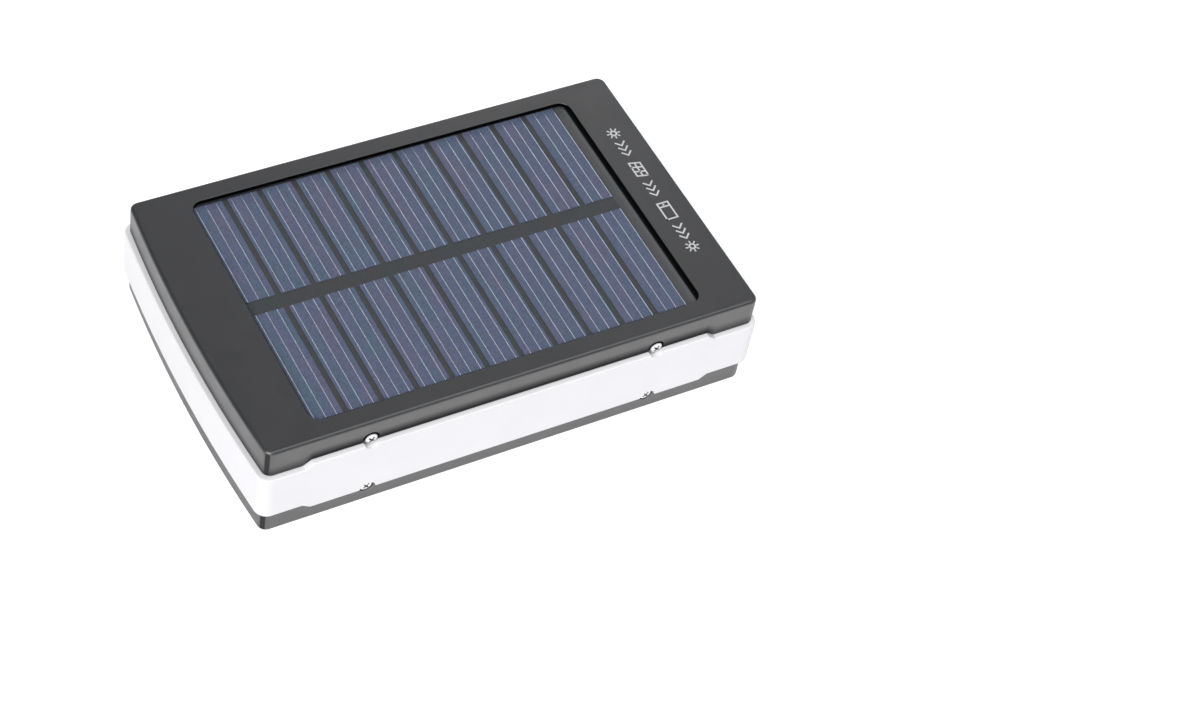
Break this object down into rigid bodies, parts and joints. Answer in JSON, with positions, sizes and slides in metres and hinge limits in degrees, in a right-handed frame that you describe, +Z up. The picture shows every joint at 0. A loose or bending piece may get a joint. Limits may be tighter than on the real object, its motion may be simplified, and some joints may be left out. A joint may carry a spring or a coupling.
{
  "type": "solar phone charger",
  "caption": "Flat rectangular battery pack with a solar panel in its dark top cover, a pale middle frame, side screws, sockets and a push button at one end.",
  "frame": {"origin": "middle of the underside, where the charger rests", "axes": "+X along the length towards the sockets, +Y across to the back long side, +Z up through the solar panel"},
  "size_m": [0.1208, 0.076, 0.026],
  "materials": {
    "cover_paint": "satin black paint, fine grain",
    "frame_plastic": "moulded, smooth white",
    "screw_steel": "bright nickel plating",
    "panel_board": "dark laminate",
    "solar_silicon": "slate blue silicon under clear film",
    "grid_silver": "fine printed silver",
    "panel_film": "thin clear laminate",
    "black_tape": "matt",
    "lead_insulation": "smooth sleeve",
    "insulator_paper": "matt",
    "nickel": "rolled strip",
    "foam": "closed-cell foam",
    "board_green": "solder resist",
    "socket_shell": "bright tin plating",
    "socket_plastic": "moulded",
    "contact_gold": "gilt",
    "button_plastic": "moulded black",
    "led_body": "moulded",
    "light_pipe": "clear pin",
    "ferrite": "matt",
    "copper": "enamelled wire",
    "capacitor_can": "drawn can",
    "chip_plastic": "moulded",
    "cell_sleeve": "shrink sleeve"
  },
  "bodies": {
    "case": {"top_cover": "cover_paint", "bottom_cover": "cover_paint", "mid_frame": "frame_plastic", "cover_screws": "screw_steel", "panel_board": "panel_board", "solar_strips_back": "solar_silicon", "solar_strips_front": "solar_silicon", "solar_grid_lines": "grid_silver", "panel_film": "panel_film", "panel_tape": "black_tape", "panel_leads": "lead_insulation", "cell_insulators": "insulator_paper", "battery_strip_positive": "nickel", "battery_strip_negative": "nickel", "foam_pad_top": "foam", "foam_pad_bottom": "foam", "circuit_board": "board_green", "board_screws": "screw_steel", "micro_usb_shell": "socket_shell", "micro_usb_insert": "socket_plastic", "switch_body": "socket_plastic", "indicator_leds": "led_body", "light_pipes": "light_pipe", "inductor_core": "ferrite", "inductor_winding": "copper", "capacitors": "capacitor_can", "control_chips": "chip_plastic", "battery_cell_1": "cell_sleeve", "battery_cell_2": "cell_sleeve", "battery_cell_3": "cell_sleeve", "battery_cell_4": "cell_sleeve", "battery_cell_5": "cell_sleeve", "usb_shell_left": "socket_shell", "usb_insert_left": "socket_plastic", "usb_contacts_left": "contact_gold", "usb_shell_right": "socket_shell", "usb_insert_right": "socket_plastic", "usb_contacts_right": "contact_gold"},
    "button": {"power_button": "button_plastic", "switch_plunger": "button_plastic"}
  },
  "joints": [
    {"name": "button_press", "type": "slide", "parent": "case", "child": "button", "axis": [-1, 0, 0], "range_m": [0, 0.0004], "stiffness_N_per_m": 1500, "springref_m": -0.0004}
  ]
}
